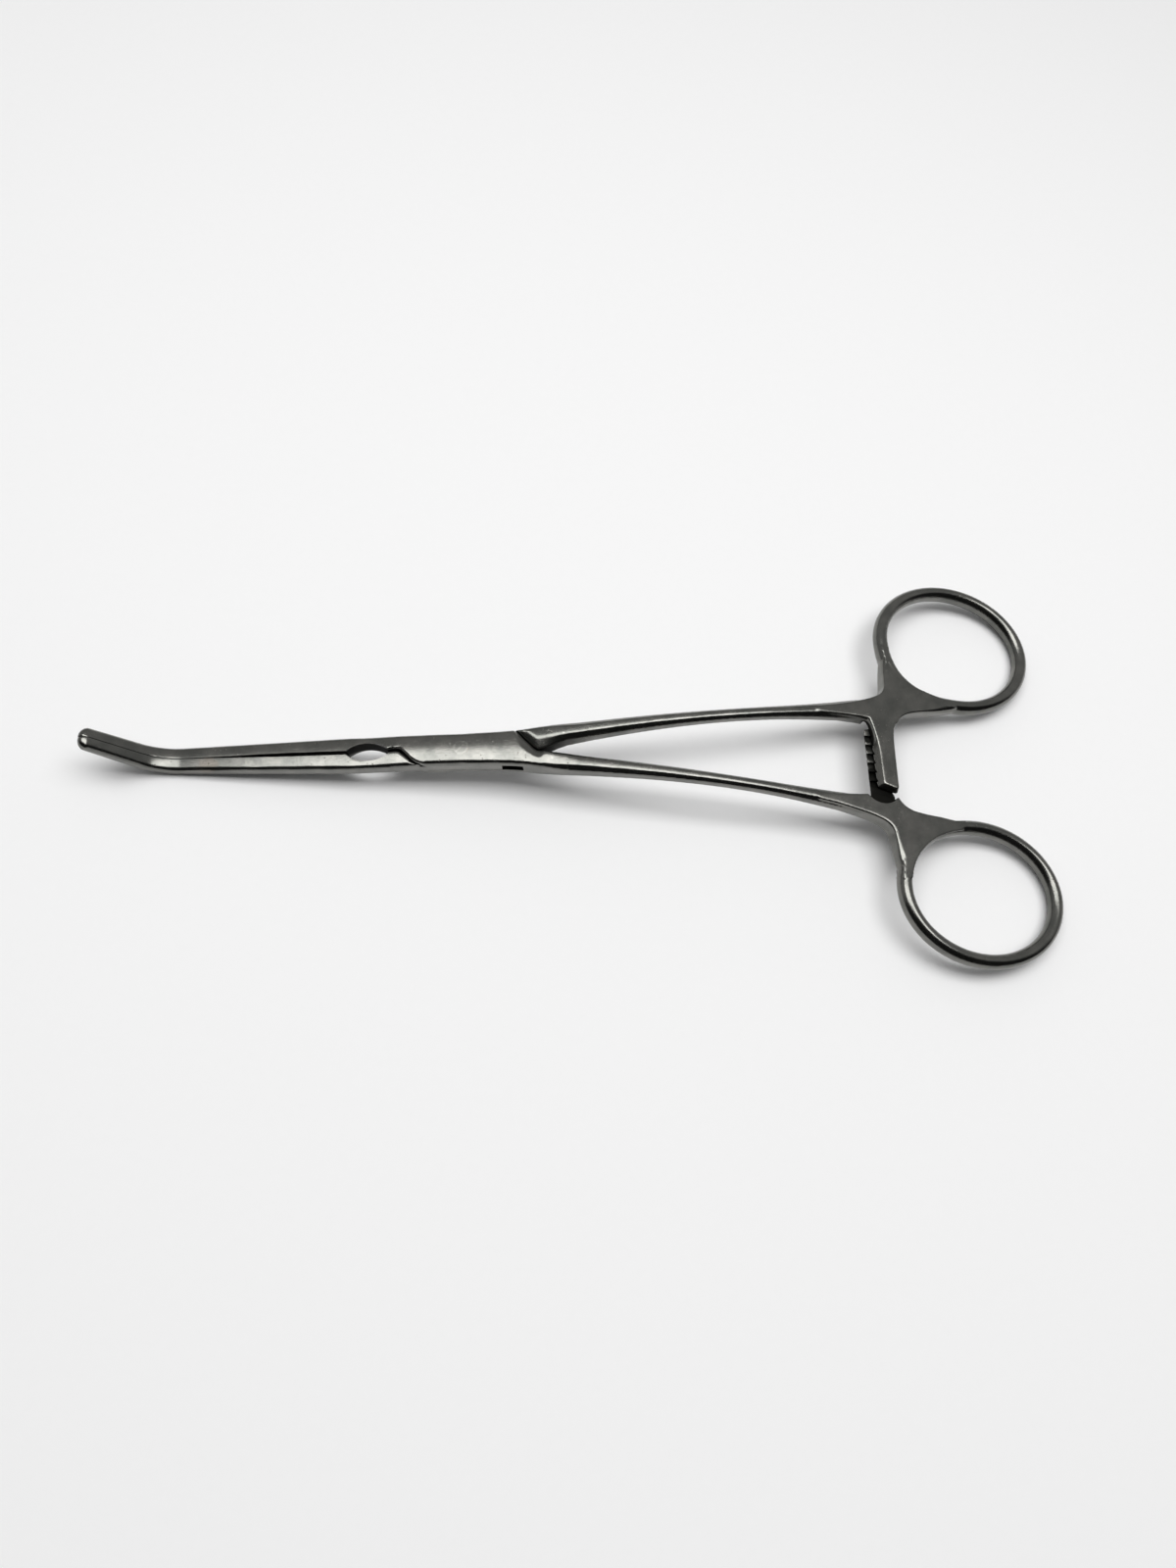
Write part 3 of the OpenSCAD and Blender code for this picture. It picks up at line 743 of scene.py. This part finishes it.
def ramp(tree, stops):
    made = tree.nodes.new("ShaderNodeValToRGB")
    band = made.color_ramp
    band.elements[0].position, band.elements[0].color = stops[0][0], (*[stops[0][1]] * 3, 1)
    band.elements[1].position, band.elements[1].color = stops[1][0], (*[stops[1][1]] * 3, 1)
    for place, value in stops[2:]:
        band.elements.new(place).color = (*[value] * 3, 1)
    return made


def grain_group():
    """Fine satin grain: short scratches along the tool, and a soft clouding."""
    tree, start, end = group("Satin grain", (
        ("Place", "NodeSocketVector", None), ("Seed", "NodeSocketFloat", 0.0),
    ), (("Grain", "NodeSocketFloat"), ("Cloud", "NodeSocketFloat"), ("Scratch", "NodeSocketFloat")))
    link = tree.links.new
    shift = node(tree, "ShaderNodeVectorMath", operation="ADD")
    link(start.outputs["Place"], shift.inputs[0])
    link(start.outputs["Seed"], shift.inputs[1])
    stretch = node(tree, "ShaderNodeMapping", Scale=(0.22, 2.6, 2.6))
    link(shift.outputs[0], stretch.inputs["Vector"])
    fine = node(tree, "ShaderNodeTexNoise", Scale=3.2, Detail=5.0, Roughness=0.65)
    link(stretch.outputs[0], fine.inputs["Vector"])
    link(fine.outputs["Fac"], end.inputs["Grain"])
    cloud = node(tree, "ShaderNodeTexNoise", Scale=0.28, Detail=4.0, Roughness=0.6)
    link(shift.outputs[0], cloud.inputs["Vector"])
    level = ramp(tree, ((0.35, 0.0), (0.68, 1.0)))
    link(cloud.outputs["Fac"], level.inputs["Fac"])
    link(level.outputs["Color"], end.inputs["Cloud"])
    turned = node(tree, "ShaderNodeMapping", Rotation=(0, 0, 0.35), Scale=(0.12, 3.2, 3.2))
    link(shift.outputs[0], turned.inputs["Vector"])
    hair = node(tree, "ShaderNodeTexNoise", Scale=2.0, Detail=2.0, Roughness=0.5)
    link(turned.outputs[0], hair.inputs["Vector"])
    thin = ramp(tree, ((0.66, 0.0), (0.74, 1.0)))
    link(hair.outputs["Fac"], thin.inputs["Fac"])
    link(thin.outputs["Color"], end.inputs["Scratch"])
    return tree


def pit_group():
    """Small pits in patches, and faint brown stains round them."""
    tree, start, end = group("Pits and stains", (
        ("Place", "NodeSocketVector", None), ("Seed", "NodeSocketFloat", 0.0),
        ("Spot", "NodeSocketVector", (0, 0, 0)), ("Spot size", "NodeSocketFloat", 3.0),
    ), (("Pits", "NodeSocketFloat"), ("Stain", "NodeSocketFloat")))
    link = tree.links.new
    shift = node(tree, "ShaderNodeVectorMath", operation="ADD")
    link(start.outputs["Place"], shift.inputs[0])
    link(start.outputs["Seed"], shift.inputs[1])
    cells = node(tree, "ShaderNodeTexVoronoi", Scale=1.5, Randomness=1.0)
    link(shift.outputs[0], cells.inputs["Vector"])
    small = ramp(tree, ((0.09, 1.0), (0.2, 0.0)))
    link(cells.outputs["Distance"], small.inputs["Fac"])
    patch = node(tree, "ShaderNodeTexNoise", Scale=0.35, Detail=3.0, Roughness=0.6)
    link(shift.outputs[0], patch.inputs["Vector"])
    where = ramp(tree, ((0.54, 0.0), (0.66, 1.0)))
    link(patch.outputs["Fac"], where.inputs["Fac"])
    away = node(tree, "ShaderNodeVectorMath", operation="DISTANCE")
    link(start.outputs["Place"], away.inputs[0])
    link(start.outputs["Spot"], away.inputs[1])
    near = node(tree, "ShaderNodeMath", operation="DIVIDE")
    link(away.outputs["Value"], near.inputs[0])
    link(start.outputs["Spot size"], near.inputs[1])
    ragged = node(tree, "ShaderNodeTexNoise", Scale=1.1, Detail=4.0, Roughness=0.7)
    link(shift.outputs[0], ragged.inputs["Vector"])
    mixed = node(tree, "ShaderNodeMath", operation="ADD")
    link(near.outputs[0], mixed.inputs[0])
    link(ragged.outputs["Fac"], mixed.inputs[1])
    spot = ramp(tree, ((0.85, 1.0), (1.45, 0.0)))
    halve = node(tree, "ShaderNodeMath", operation="MULTIPLY")
    halve.inputs[1].default_value = 0.75
    link(mixed.outputs[0], halve.inputs[0])
    link(halve.outputs[0], spot.inputs["Fac"])
    both = node(tree, "ShaderNodeMath", operation="MAXIMUM")
    link(where.outputs["Color"], both.inputs[0])
    link(spot.outputs["Color"], both.inputs[1])
    pits = node(tree, "ShaderNodeMath", operation="MULTIPLY")
    link(small.outputs["Color"], pits.inputs[0])
    link(both.outputs[0], pits.inputs[1])
    link(pits.outputs[0], end.inputs["Pits"])
    link(spot.outputs["Color"], end.inputs["Stain"])
    return tree


def edge_group():
    """Rubbed edges from the surface's own curvature, and painted shade that turns closed-in places dark."""
    tree, start, end = group("Edge wear and painted shade", (
        ("Place", "NodeSocketVector", None),
    ), (("Rubbed", "NodeSocketFloat"), ("Painted closed-in shade", "NodeSocketFloat")))
    link = tree.links.new
    shape = node(tree, "ShaderNodeNewGeometry")
    high = ramp(tree, ((0.52, 0.0), (0.6, 1.0)))
    # Ambient occlusion sets the painted shade: the more closed in the surface, the nearer black its colour.
    low = ramp(tree, ((0.3, 1.0), (0.88, 0.0)))
    closed_in = node(tree, "ShaderNodeAmbientOcclusion", samples=12, Distance=0.004)
    link(shape.outputs["Pointiness"], high.inputs["Fac"])
    link(closed_in.outputs["AO"], low.inputs["Fac"])
    broken = node(tree, "ShaderNodeTexNoise", Scale=1.4, Detail=3.0)
    link(start.outputs["Place"], broken.inputs["Vector"])
    part = node(tree, "ShaderNodeMath", operation="MULTIPLY")
    link(high.outputs["Color"], part.inputs[0])
    link(broken.outputs["Fac"], part.inputs[1])
    link(part.outputs[0], end.inputs["Rubbed"])
    link(low.outputs["Color"], end.inputs["Painted closed-in shade"])
    return tree


def shared(name, maker):
    return bpy.data.node_groups.get(name) or maker()


def placed(tree, kind, groups):
    made = tree.nodes.new("ShaderNodeGroup")
    made.node_tree = groups
    made.label = kind
    return made


def blend_colour(tree, factor, first, second, amount=1.0):
    """Mixes two colours by a mask. Each colour is a socket or a triple."""
    scaled = node(tree, "ShaderNodeMath", operation="MULTIPLY")
    scaled.inputs[1].default_value = amount
    tree.links.new(factor, scaled.inputs[0])
    made = node(tree, "ShaderNodeMix", data_type="RGBA")
    tree.links.new(scaled.outputs[0], made.inputs["Factor"])
    for socket, colour in ((made.inputs[6], first), (made.inputs[7], second)):
        if isinstance(colour, bpy.types.NodeSocket):
            tree.links.new(colour, socket)
        else:
            socket.default_value = (*colour, 1)
    return made.outputs[2]


def in_frame(sizes, s, y, h):
    """A point of the straightened tool, in the frame, in millimetres."""
    bent = bend_to_shape(np.array([[s, y, h]], float), sizes)[0]
    return tuple(1000 * v for v in lock_matrix() @ Vector(bent))


def worn_steel(context, name, seed, spot=(0, 0, 0), spot_size=0.01, shade_spots=()):
    """Satin stainless steel with grain, clouding, pits, a stain and rubbed edges, with painted shade: dark where it is
    closed in and round the given spots.
    """
    finish = context.scene.clamp_finish
    steel = bpy.data.materials.new(name)
    steel.use_nodes = True
    tree = steel.node_tree
    link = tree.links.new
    shader = tree.nodes["Principled BSDF"]
    shader.inputs["Metallic"].default_value = 1.0
    where = node(tree, "ShaderNodeTexCoord")
    in_mm = node(tree, "ShaderNodeMapping", Scale=(1000, 1000, 1000))
    link(where.outputs["Object"], in_mm.inputs["Vector"])
    grain = placed(tree, "grain", shared("Satin grain", grain_group))
    pits = placed(tree, "pits", shared("Pits and stains", pit_group))
    edges = placed(tree, "edges", shared("Edge wear and painted shade", edge_group))
    for made in (grain, pits, edges):
        link(in_mm.outputs[0], made.inputs["Place"])
    grain.inputs["Seed"].default_value = seed
    pits.inputs["Seed"].default_value = seed
    pits.inputs["Spot"].default_value = spot
    pits.inputs["Spot size"].default_value = spot_size
    clean = tuple(finish.steel_colour)
    colour = blend_colour(tree, grain.outputs["Cloud"], tuple(finish.dull_colour), clean)
    colour = blend_colour(tree, edges.outputs["Rubbed"], colour, tuple(min(1, 1.35 * c) for c in clean), 0.8)
    # Painted shade: closed-in places are mixed towards near black.
    colour = blend_colour(tree, edges.outputs["Painted closed-in shade"], colour, (0.008, 0.008, 0.007), 0.95)
    colour = blend_colour(tree, pits.outputs["Stain"], colour, tuple(finish.stain_colour), 0.13)
    colour = blend_colour(tree, pits.outputs["Pits"], colour, (0.05, 0.04, 0.03), 0.85)
    painted_shade_mask = edges.outputs["Painted closed-in shade"]
    # Each spot adds painted shade: a near-black patch, which is also made rougher.
    for place, size in shade_spots:
        about = node(tree, "ShaderNodeMapping", vector_type="TEXTURE", Location=place,
                     Rotation=(0, math.radians(9) if place[0] > 0 else 0, 0), Scale=size)
        link(in_mm.outputs[0], about.inputs["Vector"])
        away = node(tree, "ShaderNodeVectorMath", operation="LENGTH")
        link(about.outputs[0], away.inputs[0])
        reach = node(tree, "ShaderNodeMapRange")
        for label, value in (("From Min", 0.92), ("From Max", 1.08), ("To Min", 1.0), ("To Max", 0.0)):
            reach.inputs[label].default_value = value
        link(away.outputs["Value"], reach.inputs["Value"])
        colour = blend_colour(tree, reach.outputs[0], colour, (0.008, 0.008, 0.007), 0.95)
        both = node(tree, "ShaderNodeMath", operation="MAXIMUM")
        link(painted_shade_mask, both.inputs[0])
        link(reach.outputs[0], both.inputs[1])
        painted_shade_mask = both.outputs[0]
    link(colour, shader.inputs["Base Color"])
    rough = node(tree, "ShaderNodeMapRange")
    rough.inputs["To Min"].default_value = finish.roughness - 0.05
    rough.inputs["To Max"].default_value = finish.roughness + 0.09
    link(grain.outputs["Grain"], rough.inputs["Value"])
    duller = node(tree, "ShaderNodeMath", operation="MULTIPLY_ADD")
    duller.inputs[1].default_value = 0.3
    link(pits.outputs["Pits"], duller.inputs[0])
    link(rough.outputs[0], duller.inputs[2])
    # The painted shade mask also raises the roughness there.
    rougher = node(tree, "ShaderNodeMath", operation="MULTIPLY_ADD", use_clamp=True)
    rougher.inputs[1].default_value = 0.5
    link(painted_shade_mask, rougher.inputs[0])
    link(duller.outputs[0], rougher.inputs[2])
    link(rougher.outputs[0], shader.inputs["Roughness"])
    height = node(tree, "ShaderNodeMath", operation="MULTIPLY_ADD")
    height.inputs[1].default_value = -2.5
    link(pits.outputs["Pits"], height.inputs[0])
    link(grain.outputs["Grain"], height.inputs[2])
    scored = node(tree, "ShaderNodeMath", operation="MULTIPLY_ADD")
    scored.inputs[1].default_value = -0.5
    link(grain.outputs["Scratch"], scored.inputs[0])
    link(height.outputs[0], scored.inputs[2])
    bump = node(tree, "ShaderNodeBump", Strength=0.25, Distance=0.00003)
    link(scored.outputs[0], bump.inputs["Height"])
    link(bump.outputs[0], shader.inputs["Normal"])
    return steel


# ---------------------------------------------------------------- studio
def floor_material(colour):
    """Plain matt paper with a barely visible tooth."""
    made = bpy.data.materials.new("Pale floor")
    made.use_nodes = True
    tree = made.node_tree
    shader = tree.nodes["Principled BSDF"]
    shader.inputs["Roughness"].default_value = 1.0
    shader.inputs["Specular IOR Level"].default_value = 0.0
    where = node(tree, "ShaderNodeTexCoord")
    tooth = node(tree, "ShaderNodeTexNoise", Scale=600.0, Detail=3.0)
    tree.links.new(where.outputs["Object"], tooth.inputs["Vector"])
    colour = tuple(colour)
    paper = blend_colour(tree, tooth.outputs["Fac"], colour, tuple(0.985 * c for c in colour))
    tree.links.new(paper, shader.inputs["Base Color"])
    return made


def area_lamp(name, place, aim, size, power):
    lamp = bpy.data.lights.new(name, "AREA")
    lamp.shape = "RECTANGLE"
    lamp.size, lamp.size_y = size
    lamp.energy = power
    piece = bpy.data.objects.new(name, lamp)
    piece.location = place
    piece.rotation_mode = "QUATERNION"
    piece.rotation_quaternion = (Vector(aim) - Vector(place)).to_track_quat("-Z", "Y")
    bpy.context.scene.collection.objects.link(piece)
    return piece


def studio_world(light):
    """Room round the table: pale behind the object, dark on the camera's side, so that steel shows both."""
    world = bpy.data.worlds.new("Studio")
    world.use_nodes = True
    tree = world.node_tree
    link = tree.links.new
    where = node(tree, "ShaderNodeTexCoord")
    apart = node(tree, "ShaderNodeSeparateXYZ")
    link(where.outputs["Generated"], apart.inputs[0])
    depth = node(tree, "ShaderNodeMapRange", interpolation_type="SMOOTHSTEP")
    for label, value in (("From Min", -0.24), ("From Max", 0.2), ("To Min", light.front_room), ("To Max", light.back_room)):
        depth.inputs[label].default_value = value
    link(apart.outputs["Y"], depth.inputs["Value"])
    link(depth.outputs[0], tree.nodes["Background"].inputs["Color"])
    return world


# Where the photograph was taken from, in the lock's frame: degrees and millimetres
CAMERA_AZ, CAMERA_EL, CAMERA_ROLL, CAMERA_AWAY = 1.886, 67.628, -3.514, 198.92
CAMERA_AIM = (21.449, -6.527, 0.0)
FOCAL_PX, LONG_SIDE_PX = 1198, 1600


class CLAMP_OT_studio(bpy.types.Operator):
    """Set up the floor, the soft lamps and the camera at the photograph's place"""

    bl_idname = "clamp.studio"
    bl_label = "Studio"

    def execute(self, context):
        scene = context.scene
        light = scene.clamp_light
        mesh = bpy.data.meshes.new("floor")
        mesh.from_pydata([(-3, -3, 0), (3, -3, 0), (3, 3, 0), (-3, 3, 0)], [], [(0, 1, 2, 3)])
        floor = bpy.data.objects.new("floor", mesh)
        floor.location.z = cad_box[0].z - 0.0001
        mesh.materials.append(floor_material(light.floor_colour))
        scene.collection.objects.link(floor)

        scene.world = studio_world(light)
        area_lamp("softbox", (0.02, 0.07, 0.6), (0.01, 0, 0), (0.75, 0.28), light.softbox_power)
        fill = area_lamp("fill", (0.0, 0.0, 1.3), (0, 0, 0), (1.6, 1.6), light.fill_power)
        fill.visible_glossy = False

        az, el, roll = (math.radians(v) for v in (CAMERA_AZ, CAMERA_EL, CAMERA_ROLL))
        back = Vector((math.sin(az) * math.cos(el), -math.cos(az) * math.cos(el), math.sin(el)))
        right = Vector((math.cos(az), math.sin(az), 0))
        up = back.cross(right)
        across = right * math.cos(roll) + up * math.sin(roll)
        upward = up * math.cos(roll) - right * math.sin(roll)
        place = lock_matrix()
        turn = Matrix((across, upward, back)).transposed()
        camera = bpy.data.objects.new("camera", bpy.data.cameras.new("camera"))
        camera.data.sensor_width = 36
        camera.data.lens = FOCAL_PX * 36 / LONG_SIDE_PX
        camera.data.clip_start, camera.data.clip_end = 0.01, 10
        where = place @ (Vector(CAMERA_AIM) + back * CAMERA_AWAY)
        rotation = (place.to_3x3() * (1 / MM)) @ turn
        camera.matrix_world = Matrix.Translation(where) @ rotation.to_4x4()
        scene.collection.objects.link(camera)
        scene.camera = camera
        scene.view_settings.view_transform = "Standard"
        return {"FINISHED"}


class CLAMP_PT_panel(bpy.types.Panel):
    """Lists the clamp's pieces, sizes and finish"""

    bl_idname = "CLAMP_PT_panel"
    bl_label = "Vascular clamp"
    bl_space_type = "VIEW_3D"
    bl_region_type = "UI"
    bl_category = "Clamp"

    def draw(self, context):
        layout = self.layout
        for operator in OPERATORS:
            layout.operator(operator.bl_idname)
        for settings in (context.scene.clamp_sizes, context.scene.clamp_finish, context.scene.clamp_light):
            box = layout.box()
            for name in settings.__annotations__:
                box.prop(settings, name)


OPERATORS = (CLAMP_OT_box_half, CLAMP_OT_tongue_half, CLAMP_OT_pin, CLAMP_OT_studio)
SETTINGS = (("clamp_sizes", ForgingSizes), ("clamp_finish", SteelFinish), ("clamp_light", StudioLight))


def register():
    for name, settings in SETTINGS:
        bpy.utils.register_class(settings)
        setattr(bpy.types.Scene, name, bpy.props.PointerProperty(type=settings))
    for made in (*OPERATORS, CLAMP_PT_panel):
        bpy.utils.register_class(made)


def unregister():
    for made in (CLAMP_PT_panel, *reversed(OPERATORS)):
        bpy.utils.unregister_class(made)
    for name, settings in reversed(SETTINGS):
        delattr(bpy.types.Scene, name)
        bpy.utils.unregister_class(settings)


def main():
    register()
    bpy.ops.clamp.studio()
    bpy.ops.clamp.box_half()
    bpy.ops.clamp.tongue_half()
    bpy.ops.clamp.pin()
    bpy.context.view_layer.update()


if __name__ == "__main__":
    main()
